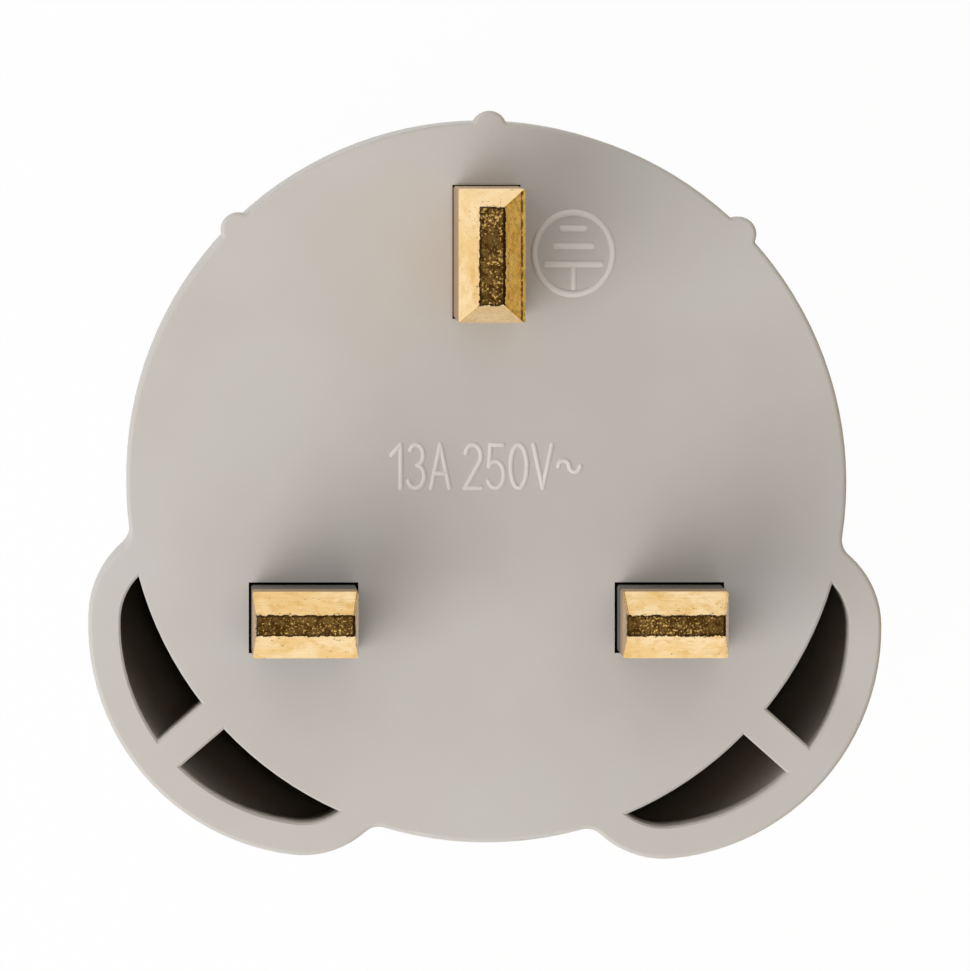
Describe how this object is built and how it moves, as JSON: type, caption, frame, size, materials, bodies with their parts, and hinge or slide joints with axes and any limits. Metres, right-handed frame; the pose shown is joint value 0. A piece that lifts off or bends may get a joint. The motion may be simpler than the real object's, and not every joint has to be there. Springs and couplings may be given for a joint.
{
  "type": "travel adapter",
  "caption": "Round mains travel adapter: three flat bevelled brass pins and two hollow ears on one face, a round earthed socket well on the other.",
  "frame": {"origin": "on the body's axis in the plane of the socket rim, on which the adapter stands", "axes": "+Z along the body's axis towards the pin tips, +Y towards the earth pin, line pin at -X"},
  "size_m": [0.0482, 0.0454, 0.0637],
  "materials": {
    "housing": "warm light grey moulded plastic, fine satin surface",
    "pin_brass": "machined brass, light scratches",
    "pin_sleeve": "black moulded insulation",
    "contact_brass": "stamped brass sheet",
    "spring_steel": "spring steel",
    "earth_clip": "nickel-plated spring strip",
    "fuse_ceramic": "unglazed ceramic tube",
    "fuse_cap": "nickel-plated cap",
    "carrier": "pale moulded insulating plastic",
    "screw_steel": "zinc-plated screw"
  },
  "bodies": {
    "root": {"base_housing": "housing", "socket_housing": "housing", "line_pin": "pin_brass", "neutral_pin": "pin_brass", "earth_pin": "pin_brass", "line_pin_sleeve": "pin_sleeve", "neutral_pin_sleeve": "pin_sleeve", "line_contact": "contact_brass", "neutral_contact": "contact_brass", "line_contact_ring": "spring_steel", "neutral_contact_ring": "spring_steel", "neutral_strap": "contact_brass", "earth_strap": "contact_brass", "earth_rivet": "contact_brass", "earth_clip_upper": "earth_clip", "earth_clip_lower": "earth_clip", "fuse_body": "fuse_ceramic", "fuse_cap_pin_end": "fuse_cap", "fuse_cap_contact_end": "fuse_cap", "fuse_clip_pin_end": "contact_brass", "fuse_clip_contact_end": "contact_brass", "contact_carrier": "carrier", "housing_screw_left": "screw_steel", "housing_screw_right": "screw_steel"}
  },
  "joints": []
}
